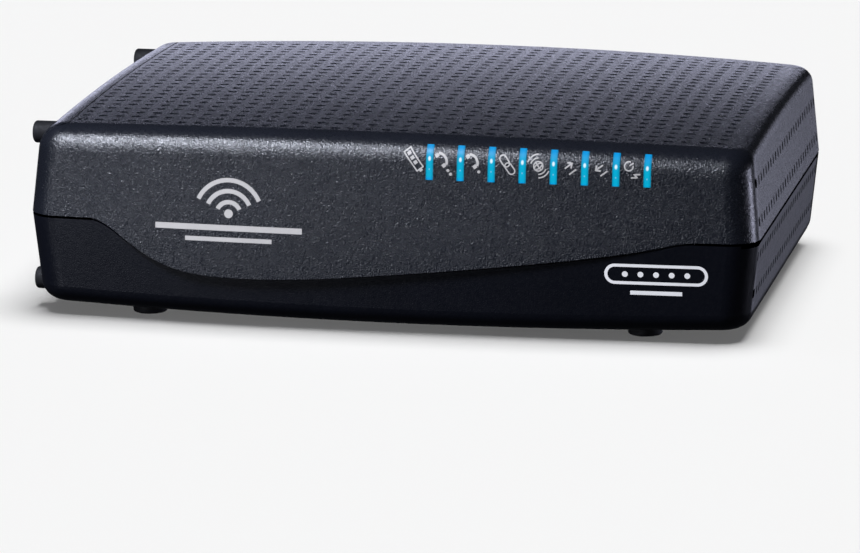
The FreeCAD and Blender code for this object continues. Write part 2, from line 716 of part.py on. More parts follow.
def battery_contacts():
    """Blades from the battery's end face through the bay wall and down to the board."""
    outer_x = BAY_X[1] + CONTACT_OUT
    top = CONTACT_THICK / 2
    contacts = []
    for y in contact_rows():
        across = around(y, CONTACT_WIDE / 2)
        blade = box((BAY_X[1] - CONTACT_IN, outer_x), across, around(0, top))
        leg = box((outer_x - CONTACT_THICK, outer_x), across, (BOARD_TOP, top))
        contacts.append(joined([blade, leg]))
    return contacts


def battery_pack():
    margin = BAY_WALL + PACK_CLEAR
    return rounded_box((PACK_END_X, BAY_X[1] - CONTACT_IN), (BAY_Y[0] + margin, BAY_Y[1] - margin),
                       (BAY_Z[0] + margin, BAY_Z[1] - margin), PACK_ROUND)


def battery_tab():
    """Pull strap folded against the battery's outer end."""
    across = around(sum(BAY_Y) / 2, TAB_HALF)
    fold_x = PACK_END_X - TAB_THICK
    strap = box((fold_x, PACK_END_X), across, around(0, TAB_HALF))
    loop = box((fold_x - TAB_LOOP, fold_x), across, TAB_LOOP_Z)
    return joined([strap, loop])


# ================================================================ ports
def jack(x, size):
    """Socket block with its plug's opening and the notch for the plug's latch."""
    base = BOARD_TOP
    shell = box(around(x, size["half"]), (size["back"], JACK_FACE_Y), (base, base + size["height"]))
    opening = box(around(x, size["plug_half"]), (size["plug_back"], REACH),
                  (base + size["floor"], base + size["ceiling"]))
    latch = box(around(x, size["latch_half"]), (LATCH_BACK_Y, REACH),
                (base + size["latch_floor"], base + size["floor"] + OVERLAP))
    return shell.cut([opening, latch])


def jack_wires(x, count, size):
    """Fine spring wires sloping back under the ceiling of a jack's opening."""
    ceiling = BOARD_TOP + size["ceiling"]
    back, front = WIRE_Y
    section = [(back, ceiling - WIRE_SLOPE - WIRE_THICK), (front, ceiling - WIRE_THICK),
               (front, ceiling), (back, ceiling - WIRE_SLOPE)]
    wires = []
    for number in range(count):
        left = x + (number - (count - 1) / 2) * WIRE_PITCH - WIRE_WIDE / 2
        corners = [Vector(left, y, z) for y, z in section + section[:1]]
        wires.append(Part.Face(Part.makePolygon(corners)).extrude(Vector(WIRE_WIDE, 0, 0)))
    return wires


def power_pin_places():
    return [POWER_X - POWER_PIN_HALF, POWER_X + POWER_PIN_HALF]


def power_inlet():
    """Two-pole inlet with a figure-of-eight cavity."""
    middle = BOARD_TOP + POWER_HEIGHT / 2
    shell = box(around(POWER_X, POWER_HALF), POWER_Y, (BOARD_TOP, BOARD_TOP + POWER_HEIGHT))
    inside = (POWER_CAVITY_Y, REACH)
    lobes = [barrel(x, middle, inside, POWER_LOBE_RADIUS) for x in power_pin_places()]
    waist = box(around(POWER_X, POWER_PIN_HALF), inside, around(middle, POWER_WAIST_HALF))
    return shell.cut(lobes + [waist])


def power_pins():
    middle = BOARD_TOP + POWER_HEIGHT / 2
    pins = []
    for x in power_pin_places():
        pin = barrel(x, middle, (POWER_CAVITY_Y, PIN_END_Y), PIN_RADIUS)
        pins.append(pin.makeFillet(PIN_ROUND, rim_at(pin, "y", PIN_END_Y)))
    return pins


def coax_connector():
    """Threaded cable socket on a square metal base."""
    base = box(around(COAX_X, COAX_BODY_HALF), COAX_BODY_Y, (BOARD_TOP, COAX_Z + COAX_BODY_TOP))
    neck = barrel(COAX_X, COAX_Z, (COAX_BODY_Y[1] - OVERLAP, COAX_THREAD_Y + OVERLAP),
                  COAX_NECK_RADIUS)
    thread = barrel(COAX_X, COAX_Z, (COAX_THREAD_Y, COAX_END_Y), COAX_RADIUS)
    bore = barrel(COAX_X, COAX_Z, (COAX_BORE_Y, REACH), COAX_BORE)
    return joined([base, neck, thread]).cut(bore)


def coax_insulator():
    tube = barrel(COAX_X, COAX_Z, (COAX_BORE_Y, COAX_END_Y - 0.6), COAX_BORE)
    return tube.cut(barrel(COAX_X, COAX_Z, (COAX_BORE_Y + 1, REACH), COAX_CONTACT_RADIUS))


def coax_contact():
    tube = barrel(COAX_X, COAX_Z, (COAX_BORE_Y + 1, COAX_END_Y - 2), COAX_CONTACT_RADIUS)
    return tube.cut(barrel(COAX_X, COAX_Z, (COAX_BODY_Y[1], REACH), COAX_CONTACT_BORE))


def coax_nut():
    """Hexagonal nut that clamps the connector to the rear panel."""
    corners = [Vector(COAX_X + NUT_CORNER_RADIUS * math.cos(turn), PANEL_Y[1],
                      COAX_Z + NUT_CORNER_RADIUS * math.sin(turn))
               for turn in (math.pi / 3 * step for step in range(7))]
    nut = Part.Face(Part.makePolygon(corners)).extrude(Vector(0, NUT_THICK, 0))
    return nut.cut(barrel(COAX_X, COAX_Z, (PANEL_Y[0], REACH), COAX_NECK_RADIUS + OVERLAP))


def reset_button():
    plunger = barrel(RESET_X, RESET_Z, RESET_Y, RESET_RADIUS)
    collar = barrel(RESET_X, RESET_Z, RESET_COLLAR_Y, RESET_COLLAR_RADIUS)
    return joined([plunger, collar])


def reset_switch():
    return box(around(RESET_X, SWITCH_HALF), SWITCH_Y, (BOARD_TOP, SWITCH_TOP))


def rear_panel():
    """Flat plate held between the shells, with a hole for each port and a row of vents."""
    plate = box(around(0, PANEL_HALF), PANEL_Y, PANEL_Z)
    through = (PANEL_Y[0] - 1, PANEL_Y[1] + 1)
    ports = [(x, PHONE["half"], PHONE["height"]) for x in PHONE_X]
    ports.append((ETHERNET_X, ETHERNET["half"], ETHERNET["height"]))
    ports.append((POWER_X, POWER_HALF, POWER_HEIGHT))
    holes = [box(around(x, half + PORT_CLEAR), through,
                 (BOARD_TOP - PORT_CLEAR, BOARD_TOP + height + PORT_CLEAR))
             for x, half, height in ports]
    holes.append(barrel(COAX_X, COAX_Z, through, COAX_NECK_RADIUS + RESET_CLEAR))
    holes.append(barrel(RESET_X, RESET_Z, through, RESET_RADIUS + RESET_CLEAR))
    for number in range(PANEL_VENTS):
        x = (number - (PANEL_VENTS - 1) / 2) * SLOT_PITCH_X
        holes.append(box(around(x, PANEL_VENT_HALF), through, PANEL_VENT_Z))
    return plate.cut(holes)


# ================================================================ board and what it carries
def main_board():
    board = box(BOARD_X, BOARD_Y, (BOARD_TOP - BOARD_THICK, BOARD_TOP))
    through = (-REACH, REACH)
    holes = [post(x, y, through, LOWER_BOSS_RADIUS + BOSS_CLEAR) for x, y in CASE_SCREWS]
    holes += [post(x, y, through, SCREW_HOLE) for x, y in BOARD_SCREWS]
    return board.cut(holes)


def board_screws():
    screws = []
    for x, y in BOARD_SCREWS:
        head = post(x, y, (BOARD_TOP, BOARD_TOP + BOARD_HEAD_THICK), BOARD_HEAD_RADIUS)
        shank = post(x, y, (BOARD_TOP - BOARD_SCREW_LENGTH, BOARD_TOP + OVERLAP), SCREW_RADIUS)
        screws.append(joined([head, shank]))
    return screws


def transformer():
    """Core with two windows, and the coil wound on its middle leg."""
    x, y = TRANSFORMER_AT
    low = BOARD_TOP + BOBBIN_THICK
    high = low + CORE_HEIGHT
    depth = around(y, CORE_HALF[1])
    coil_reach = COIL_HALF[0] + COIL_CLEAR
    window_z = (low + CORE_BAR, high - CORE_BAR)
    windows = [box((x + CORE_LEG_HALF, x + coil_reach), depth, window_z),
               box((x - coil_reach, x - CORE_LEG_HALF), depth, window_z)]
    core = box(around(x, CORE_HALF[0]), depth, (low, high))
    coil = box(around(x, COIL_HALF[0]), around(y, COIL_HALF[1]),
               (low + CORE_BAR + COIL_CLEAR, high - CORE_BAR - COIL_CLEAR))
    leg = box(around(x, CORE_LEG_HALF), depth, (low, high))
    bobbin = box(around(x, BOBBIN_HALF[0]), around(y, BOBBIN_HALF[1]), (BOARD_TOP, low))
    return {"transformer_core": core.cut(windows), "transformer_coil": coil.cut(leg),
            "transformer_base": bobbin}


def capacitors():
    sizes = [MAIN_CAPACITOR]
    sizes += [(SMALL_CAPACITORS_X, y) + SMALL_CAPACITOR for y in SMALL_CAPACITORS_Y]
    cans = []
    for x, y, radius, height in sizes:
        top = BOARD_TOP + height
        can = post(x, y, (BOARD_TOP, top), radius)
        cans.append(can.makeFillet(CAN_ROUND, rim_at(can, "z", top)))
    return cans


def mains_choke():
    ring, wire = CHOKE_RADII
    return Part.makeTorus(ring, wire, Vector(CHOKE_AT[0], CHOKE_AT[1], BOARD_TOP + wire))


def fuse():
    start = Vector(FUSE_START[0], FUSE_START[1], BOARD_TOP + FUSE_RAISE)
    glass = Part.makeCylinder(FUSE_RADIUS, FUSE_LENGTH, start, Vector(1, 0, 0))
    long, wide, high = CLIP_SIZE
    clips = [box((x, x + long), around(start.y, wide / 2), (BOARD_TOP, BOARD_TOP + high))
             for x in CLIP_X]
    return {"fuse": glass.cut(clips), "fuse_clips": group(clips)}


def processor_heat_sink():
    """Square heat sink on the processor: a base plate with upright fins."""
    x, y = PROCESSOR_AT
    low = BOARD_TOP + CHIP_HEIGHT
    depth = around(y, SINK_HALF)
    parts = [box(around(x, SINK_HALF), depth, (low, low + SINK_BASE))]
    spread = SINK_HALF - FIN_MARGIN
    for number in range(SINK_FINS):
        middle = x - spread + number * 2 * spread / (SINK_FINS - 1)
        parts.append(box(around(middle, FIN_THICK / 2), depth, (low + SINK_BASE - OVERLAP, SINK_TOP)))
    return joined(parts)


def power_heat_sink():
    standing = (BOARD_TOP, BOARD_TOP + POWER_SINK_HEIGHT)
    parts = [box(POWER_SINK_X, POWER_SINK_Y, standing)]
    middle = sum(POWER_SINK_Y) / 2
    for number in range(POWER_SINK_FINS):
        y = middle + (number - (POWER_SINK_FINS - 1) / 2) * POWER_SINK_FIN_PITCH
        fin = box((POWER_SINK_FIN_X, POWER_SINK_X[0] + OVERLAP), around(y, FIN_THICK / 2), standing)
        parts.append(fin)
    return joined(parts)


def tuner_shield():
    """Open-bottomed metal can over the tuner."""
    can = box(TUNER_X, TUNER_Y, (BOARD_TOP, BOARD_TOP + TUNER_HEIGHT))
    room = box((TUNER_X[0] + TUNER_WALL, TUNER_X[1] - TUNER_WALL),
               (TUNER_Y[0] + TUNER_WALL, TUNER_Y[1] - TUNER_WALL),
               (BOARD_TOP - 1, BOARD_TOP + TUNER_HEIGHT - TUNER_WALL))
    return can.cut(room)


def chip(place, half_x, half_y, height):
    x, y = place
    return box(around(x, half_x), around(y, half_y), (BOARD_TOP, BOARD_TOP + height))


def build():
    outer = body(0)
    upper, lower = shells(outer)
    feet = stand_feet()
    pieces = {
        "upper_shell": upper,
        "lower_shell": lower,
        "battery_door": battery_door(outer, feet),
        "stand_feet": group(feet),
        "bottom_feet": group(bottom_feet()),
        "shell_screws": group(case_screws()),
        "rear_panel": rear_panel(),
        "light_pipe_holder": light_holder(),
        "status_leds": group(status_leds()),
        "battery_bay": battery_bay(),
        "battery_contacts": group(battery_contacts()),
        "battery_pack": battery_pack(),
        "battery_pull_tab": battery_tab(),
        "ethernet_jack": jack(ETHERNET_X, ETHERNET),
        "ethernet_contacts": group(jack_wires(ETHERNET_X, 8, ETHERNET)),
        "phone_jack_1": jack(PHONE_X[0], PHONE),
        "phone_jack_2": jack(PHONE_X[1], PHONE),
        "phone_contacts": group(wire for x in PHONE_X for wire in jack_wires(x, 4, PHONE)),
        "power_inlet": power_inlet(),
        "power_pins": group(power_pins()),
        "coax_connector": coax_connector(),
        "coax_insulator": coax_insulator(),
        "coax_contact": coax_contact(),
        "coax_nut": coax_nut(),
        "reset_button": reset_button(),
        "reset_switch": reset_switch(),
        "main_board": main_board(),
        "board_screws": group(board_screws()),
        "capacitors": group(capacitors()),
        "mains_choke": mains_choke(),
        "processor": chip(PROCESSOR_AT, PROCESSOR_HALF, PROCESSOR_HALF, CHIP_HEIGHT),
        "processor_heat_sink": processor_heat_sink(),
        "memory_chips": group(chip(place, *MEMORY_SIZE) for place in MEMORY_AT),
        "line_relays": group(chip(place, *RELAY_SIZE) for place in RELAY_AT),
        "tuner_shield": tuner_shield(),
        "power_heat_sink": power_heat_sink(),
    }
    pieces.update(lights())
    pieces.update(transformer())
    pieces.update(fuse())
    return pieces


if __name__ == "__main__":
    os.makedirs("parts", exist_ok=True)
    for piece_name, piece_shape in build().items():
        write(piece_name, piece_shape)
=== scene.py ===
"""Looks of the cable modem: materials, printed marks, floor, light and camera."""
import math

import bpy
from mathutils import Matrix, Vector
from mathutils.bvhtree import BVHTree


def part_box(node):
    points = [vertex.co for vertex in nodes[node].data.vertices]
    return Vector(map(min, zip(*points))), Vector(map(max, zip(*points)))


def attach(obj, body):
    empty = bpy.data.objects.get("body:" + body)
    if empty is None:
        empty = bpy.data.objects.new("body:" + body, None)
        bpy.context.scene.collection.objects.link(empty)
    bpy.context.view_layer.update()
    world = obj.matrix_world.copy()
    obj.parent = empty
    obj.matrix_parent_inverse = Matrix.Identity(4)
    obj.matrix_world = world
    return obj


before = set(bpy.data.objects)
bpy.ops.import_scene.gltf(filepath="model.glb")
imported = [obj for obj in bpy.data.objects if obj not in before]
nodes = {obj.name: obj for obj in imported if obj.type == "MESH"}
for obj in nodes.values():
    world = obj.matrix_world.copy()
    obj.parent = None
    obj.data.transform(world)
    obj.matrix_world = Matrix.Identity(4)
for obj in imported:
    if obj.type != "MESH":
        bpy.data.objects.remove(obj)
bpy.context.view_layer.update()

MM = 0.001
BODY = "modem"            # the body that the printed marks ride on
LIGHTS = ("battery_light", "tel_2_light", "tel_1_light", "link_light",
          "online_light", "upstream_light", "downstream_light", "power_light")

# ---------------------------------------------------------------- camera, metres
CAMERA_PLACE = (0.3131, -1.5761, 0.3633)
CAMERA_AIM = (-0.0021, 0.0004, -0.0008)
CAMERA_LENS = 226.7       # focal length, millimetres
SENSOR = 36.0             # width, millimetres
CAMERA_REACH = 50

# ---------------------------------------------------------------- floor and light
FLOOR_HALF = 6.0
FLOOR_DROP = 0.02 * MM    # the floor lies this far under the feet
FLOOR_WHITE = 0.9
FLOOR_SUN_ANGLE = math.radians(38)
FLOOR_SUN_TURN = (math.radians(-3), math.radians(5), 0)
FLOOR_SUN = 2.6
FLOOR_FILL = 0.58         # a second sun without a shadow, so that the first one's stays grey
WORLD_STRENGTH = 0.022
COOL = (0.84, 0.88, 1.0)
BLUE = (0.75, 0.77, 1.0)
# Name, place, aim, size (metres), power (watts) and colour of each softbox.
SOFTBOXES = (
    ("overhead", (-0.29, -0.40, 0.5), (-0.07, -0.07, 0.05), (0.27, 0.13), 8.6, COOL),
    ("front_left", (-0.55, -0.85, -0.04), (-0.09, -0.08, 0.03), (0.4, 0.28), 2.4, COOL),
    ("backdrop", (-0.48, 1.6, 0.13), (0.0, 0.0, 0.04), (1.26, 0.27), 3.0, BLUE),
    ("back_right", (0.6, 1.0, -0.1), (0.1, 0.0, 0.03), (0.5, 0.5), 0.85, BLUE),
    ("right", (1.0, 0.25, -0.05), (0.1, -0.07, 0.03), (0.04, 0.25), 1.8, BLUE),
)

# ---------------------------------------------------------------- casing
CASING_COLOR = (0.0065, 0.0075, 0.011)
# The lower shell's colour is darker than the upper's: partly painted shade for its faces that
# lean down, away from the lights.
LOWER_SHADED_COLOR = (0.003, 0.0035, 0.006)
LOWER_SHEEN = 0.27        # strength of the lower shell's reflections
COARSE_GRAIN = 0.43 * MM  # width of the grain on the front
COARSE_DEPTH = 0.25 * MM
FINE_GRAIN = 0.3 * MM
FINE_DEPTH = 0.03 * MM
TONE_PATCH = 14 * MM      # width of the patches that differ slightly in tone
GLOSS_PATCH = 1.1 * MM
FRONT_FACING = (0.5, 0.97)  # the coarse grain fades in as a face turns to the front
CASING_ROUGHNESS = 0.28
LOWER_ROUGHNESS = 0.32
SEAM_Z = 30.3 * MM        # lower edge of the upper shell at the sides
GAP_FLOOR_Z = SEAM_Z - 0.74 * MM  # above this the lower shell is inside the gap, where it is painted black: painted shade
GAP_LIP_Z = SEAM_Z - 1.65 * MM    # on the right side the lip under the gap is painted black to here: painted shadow
EDGE_FACING = 0.5         # a face turned this far to the right belongs to an edge or the side
THREAD_PITCH = 0.8 * MM
THREAD_DEPTH = 0.5 * MM
TAPE_THREAD = 0.35 * MM   # width of a thread in the woven pull tab
NICKEL = (0.72, 0.7, 0.66)
JACK_GREY = (0.28, 0.28, 0.29)

# ---------------------------------------------------------------- light lenses
LENS_HALF = 0.95 * MM     # half the width
LENS_LENGTH = 9.9 * MM    # from the top down
LENS_DEEP = (0.0, 0.23, 0.62)
LENS_CYAN = (0.0, 0.34, 0.53)
LENS_EDGE = (0.0, 0.10, 0.20)
LENS_SPOT = (0.9, 0.97, 1.0)
LENS_SPOTS = ((0.62, 0.5 * MM, 0.85), (0.31, 0.2 * MM, 0.3))  # share of height, radius, strength
SPOT_STRETCH = 1.6        # a spot is this much taller than wide

# ---------------------------------------------------------------- printed marks, millimetres
INK_LIFT = 0.03 * MM      # how far the ink stands off the casing
GREY_INK = (0.42, 0.40, 0.375)
WHITE_INK = (0.93, 0.91, 0.88)
MARK_STEP = 0.6           # a printed line follows the casing at this spacing
MITRE_LIMIT = 0.6
LINE = 0.38               # width of the signs' lines
BOLD = 0.45               # and of the bolder ones
SIGN_TURN = math.radians(-53)
SIGN_ASIDE = 3.4          # middle of a sign, left of its light
SIGN_BELOW = 4.6          # and below the light's top
EMBLEM_X = -46.0
EMBLEM_ABOVE = 3.0        # middle of its dot above the seam
STRIPES_X = 79.5
STRIPES_BELOW = 11.5      # their middle below the seam

# ---------------------------------------------------------------- sockets of the mix node
MIX_FLOATS = (2, 3)
MIX_COLORS = (6, 7)
MIX_COLOR_RESULT = 2


# ================================================================ node helpers
class Recipe:
    """A material's node tree with short calls for the nodes used here."""

    def __init__(self, name):
        self.material = bpy.data.materials.new(name)
        self.material.use_nodes = True
        self.tree = self.material.node_tree
        self.shader = self.tree.nodes["Principled BSDF"]
        self.place = self.add("ShaderNodeTexCoord").outputs["Object"]
        self.facing = self.add("ShaderNodeTexCoord").outputs["Normal"]

    def add(self, kind, **settings):
        node = self.tree.nodes.new(kind)
        for key, value in settings.items():
            setattr(node, key, value)
        return node

    def link(self, source, target):
        """Feeds a socket from another one, or from a plain number."""
        if isinstance(source, (int, float)):
            target.default_value = source
        else:
            self.tree.links.new(source, target)

    def math(self, operation, *values):
        node = self.add("ShaderNodeMath", operation=operation)
        for socket, value in zip(node.inputs, values):
            self.link(value, socket)
        return node.outputs[0]

    def axis(self, vector, letter):
        node = self.add("ShaderNodeSeparateXYZ")
        self.link(vector, node.inputs[0])
        return node.outputs[letter]

    def noise(self, size, detail=2.0, roughness=0.5, stretch=(1, 1, 1)):
        """Noise whose lumps are about size metres across."""
        mapping = self.add("ShaderNodeMapping")
        mapping.inputs["Scale"].default_value = stretch
        self.link(self.place, mapping.inputs["Vector"])
        node = self.add("ShaderNodeTexNoise")
        node.inputs["Scale"].default_value = 1 / size
        node.inputs["Detail"].default_value = detail
        node.inputs["Roughness"].default_value = roughness
        self.link(mapping.outputs[0], node.inputs["Vector"])
        return node.outputs[0]

    def ramp(self, factor, stops):
        """A colour that goes through stops of (position, colour)."""
        node = self.add("ShaderNodeValToRGB")
        elements = node.color_ramp.elements
        while len(elements) < len(stops):
            elements.new(0.5)
        for element, (position, color) in zip(elements, stops):
            element.position = position
            element.color = (*color, 1.0)
        self.link(factor, node.inputs[0])
        return node.outputs[0]

    def grey_ramp(self, factor, low, high, low_at=0.3, high_at=0.7):
        """A value that goes from low to high between two positions."""
        return self.ramp(factor, [(low_at, (low,) * 3), (high_at, (high,) * 3)])

    def mix(self, factor, first, second):
        """The first value turned to the second by a factor."""
        node = self.add("ShaderNodeMix", data_type="FLOAT")
        self.link(factor, node.inputs[0])
        self.link(first, node.inputs[MIX_FLOATS[0]])
        self.link(second, node.inputs[MIX_FLOATS[1]])
        return node.outputs[0]

    def tint(self, factor, first, color):
        """The first colour turned to a fixed one by a factor."""
        node = self.add("ShaderNodeMix", data_type="RGBA")
        self.link(factor, node.inputs[0])
        self.link(first, node.inputs[MIX_COLORS[0]])
        node.inputs[MIX_COLORS[1]].default_value = (*color, 1.0)
        return node.outputs[MIX_COLOR_RESULT]

    def bump(self, height, depth, normal=None):
        """Relief of a depth in metres, laid over another where one is given."""
        node = self.add("ShaderNodeBump")
        node.inputs["Strength"].default_value = 1.0
        node.inputs["Distance"].default_value = depth
        self.link(height, node.inputs["Height"])
        if normal is not None:
            self.link(normal, node.inputs["Normal"])
        return node.outputs[0]

    def set(self, **values):
        """Uniform values of the shader's own sockets."""
        for key, value in values.items():
            self.shader.inputs[key.replace("_", " ")].default_value = value

    def finish(self, color=None, roughness=None, normal=None):
        """Links the values that vary to the shader."""
        for source, name in ((color, "Base Color"), (roughness, "Roughness"), (normal, "Normal")):
            if source is not None:
                self.link(source, self.shader.inputs[name])
        return self.material


def shade(color, factor):
    """The same colour, lighter or darker."""
    return tuple(min(part * factor, 1.0) for part in color)


# ================================================================ materials
def painted_seam_shade(recipe):
    """Mask of painted shade: inside the gap under the seam, and on the right side the lip below
    it.
    """
    height = recipe.axis(recipe.place, "Z")
    inside = recipe.math("GREATER_THAN", height, GAP_FLOOR_Z)
    on_side = recipe.math("GREATER_THAN", recipe.axis(recipe.facing, "X"), EDGE_FACING)
    lip = recipe.math("MULTIPLY", on_side, recipe.math("GREATER_THAN", height, GAP_LIP_Z))
    return recipe.math("MAXIMUM", inside, lip)


def painted_door_edge_shade(recipe):
    """Mask of painted shade on the edge of the battery door that faces the groove beside it."""
    return recipe.math("GREATER_THAN", recipe.axis(recipe.facing, "X"), EDGE_FACING)


def casing(name, color, coarse_depth, roughness, painted_shade=None, sheen=0.5):
    """Moulded plastic with a coarse grain on the front and a fine one elsewhere.

    Where the given mask of painted shade is 1, the surface is painted black and dull: painted
    shade.
    """
    recipe = Recipe(name)
    front = recipe.math("MULTIPLY", recipe.axis(recipe.facing, "Y"), -1.0)
    front_share = recipe.grey_ramp(front, 0.0, 1.0, *FRONT_FACING)
    grain = recipe.noise(COARSE_GRAIN, detail=1.0, roughness=0.4)
    coarse = recipe.math("MULTIPLY", grain, front_share)
    fine = recipe.bump(recipe.noise(FINE_GRAIN, detail=1.0), FINE_DEPTH)
    relief = recipe.bump(coarse, coarse_depth, fine)
    tone = recipe.noise(TONE_PATCH, detail=3.0)
    base = recipe.ramp(tone, [(0.3, shade(color, 0.92)), (0.7, shade(color, 1.08))])
    gloss = recipe.grey_ramp(recipe.noise(GLOSS_PATCH), roughness - 0.04, roughness + 0.05)
    # Painted shade: where the mask is 1 the colour is painted black and the reflections are taken
    # away.
    if painted_shade:
        painted_dark = painted_shade(recipe)
        gloss = recipe.mix(painted_dark, gloss, 1.0)
        base = recipe.tint(painted_dark, base, (0.0, 0.0, 0.0))
        sheen = recipe.mix(painted_dark, sheen, 0.0)
    recipe.link(sheen, recipe.shader.inputs["Specular IOR Level"])
    return recipe.finish(base, gloss, relief)


def plastic(name, color, roughness=0.5, grain=0.4, depth=0.02, variation=0.1):
    """Moulded plastic or paint, its grain and depth in millimetres."""
    recipe = Recipe(name)
    tone = recipe.noise(6 * MM, detail=3.0)
    darker, lighter = shade(color, 1 - variation), shade(color, 1 + variation)
    base = recipe.ramp(tone, [(0.3, darker), (0.7, lighter)])
    gloss = recipe.grey_ramp(recipe.noise(1.5 * MM), roughness - 0.06, roughness + 0.06)
    return recipe.finish(base, gloss, recipe.bump(recipe.noise(grain * MM), depth * MM))


def rubber(name, color):
    """Dull rubber with a little dust."""
    recipe = Recipe(name)
    dust = recipe.noise(3 * MM, detail=4.0)
    base = recipe.ramp(dust, [(0.4, color), (0.75, shade(color, 1.7))])
    recipe.set(Specular_IOR_Level=0.15)
    gloss = recipe.grey_ramp(recipe.noise(1 * MM), 0.55, 0.75)
    return recipe.finish(base, gloss, recipe.bump(recipe.noise(0.25 * MM), 0.03 * MM))


def metal(name, color, roughness=0.3, brush=(1, 1, 1), depth=0.01):
    """Bare metal, its streaks squeezed along each axis by brush, their depth in millimetres."""
    recipe = Recipe(name)
    recipe.set(Metallic=1.0)
    streaks = recipe.noise(0.5 * MM, detail=3.0, roughness=0.6, stretch=brush)
    base = recipe.ramp(streaks, [(0.3, shade(color, 0.88)), (0.7, color)])
    gloss = recipe.grey_ramp(streaks, roughness - 0.08, roughness + 0.1)
    return recipe.finish(base, gloss, recipe.bump(streaks, depth * MM))


def threaded_metal(name, color, start_y):
    """Metal with a thread along Y beyond start_y."""
    recipe = Recipe(name)
    recipe.set(Metallic=1.0)
    along = recipe.axis(recipe.place, "Y")
    turns = recipe.math("PINGPONG", recipe.math("DIVIDE", along, THREAD_PITCH), 0.5)
    on_thread = recipe.math("GREATER_THAN", along, start_y)
    height = recipe.math("MULTIPLY", turns, on_thread)
    scratches = recipe.noise(0.6 * MM, detail=3.0)
    base = recipe.ramp(scratches, [(0.3, shade(color, 0.9)), (0.7, color)])
    gloss = recipe.grey_ramp(scratches, 0.18, 0.34)
    return recipe.finish(base, gloss, recipe.bump(height, THREAD_DEPTH))


def lit_lens(name, low, high, middle_x):
    """Clear lens glowing blue at both ends and cyan between, with its LED's bright spots."""
    recipe = Recipe(name)
    span = high - low
    above = recipe.math("SUBTRACT", recipe.axis(recipe.place, "Z"), low)
    height = recipe.math("DIVIDE", above, span)
    stops = [(0.0, LENS_DEEP), (0.12, LENS_CYAN), (0.6, LENS_CYAN), (0.95, LENS_DEEP)]
    glow = recipe.ramp(height, stops)
    offset = recipe.math("SUBTRACT", recipe.axis(recipe.place, "X"), middle_x)
    edge = recipe.math("ABSOLUTE", recipe.math("DIVIDE", offset, LENS_HALF))
    edge_share = recipe.grey_ramp(edge, 0.0, 0.55, low_at=0.45, high_at=1.0)
    glow = recipe.tint(edge_share, glow, LENS_EDGE)
    for share, size, strength in LENS_SPOTS:
        across = recipe.math("DIVIDE", offset, size)
        rise = recipe.math("SUBTRACT", height, share)
        along = recipe.math("DIVIDE", rise, size / span * SPOT_STRETCH)
        reach = recipe.math("ADD", recipe.math("MULTIPLY", across, across),
                            recipe.math("MULTIPLY", along, along))
        spot = recipe.grey_ramp(reach, strength, 0.0, low_at=0.15, high_at=1.0)
        glow = recipe.tint(spot, glow, LENS_SPOT)
    recipe.link(glow, recipe.shader.inputs["Emission Color"])
    recipe.set(Emission_Strength=1.0, Roughness=0.25)
    base = recipe.ramp(recipe.noise(2 * MM), [(0.3, (0.0, 0.05, 0.08)), (0.7, (0.0, 0.07, 0.1))])
    return recipe.finish(base, None, recipe.bump(recipe.noise(0.8 * MM), 0.01 * MM))


def board_mask(name):
    """Green solder mask with fine copper tracks under it."""
    recipe = Recipe(name)
    tracks = recipe.add("ShaderNodeTexBrick")
    tracks.inputs["Scale"].default_value = 260.0
    tracks.inputs["Mortar Size"].default_value = 0.03
    recipe.link(recipe.place, tracks.inputs["Vector"])
    stops = [(0.0, (0.006, 0.07, 0.03)), (1.0, (0.02, 0.16, 0.06))]
    base = recipe.ramp(tracks.outputs["Fac"], stops)
    gloss = recipe.grey_ramp(recipe.noise(2 * MM), 0.25, 0.38)
    return recipe.finish(base, gloss, recipe.bump(tracks.outputs["Fac"], 0.03 * MM))


def clear_glass(name):
    """Clear glass with a faint haze."""
    recipe = Recipe(name)
    recipe.set(Transmission_Weight=1.0, IOR=1.45)
    base = recipe.ramp(recipe.noise(4 * MM), [(0.3, (0.85, 0.9, 0.9)), (0.7, (0.95, 0.97, 0.97))])
    gloss = recipe.grey_ramp(recipe.noise(2 * MM), 0.02, 0.08)
    return recipe.finish(base, gloss)


def woven_tape(name, color):
    """Plain weave of threads along Y and Z."""
    recipe = Recipe(name)
    waves = []
    for letter in "YZ":
        angle = recipe.math("MULTIPLY", recipe.axis(recipe.place, letter), math.pi / TAPE_THREAD)
        waves.append(recipe.math("SINE", angle))
    weave = recipe.math("MULTIPLY", *waves)
    base = recipe.ramp(weave, [(0.2, shade(color, 0.7)), (0.8, color)])
    gloss = recipe.grey_ramp(weave, 0.7, 0.85)
    return recipe.finish(base, gloss, recipe.bump(weave, 0.06 * MM))


def dress(node, material):
    """Gives a CAD node one material."""
    mesh = nodes[node].data
    mesh.materials.clear()
    mesh.materials.append(material)


def dress_lenses():
    """A lit material for each lens, since the glow is placed by the lens's own box."""
    for node in LIGHTS:
        low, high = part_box(node)
        middle_x = (low.x + high.x) / 2
        dress(node, lit_lens("lens_" + node, high.z - LENS_LENGTH, high.z, middle_x))


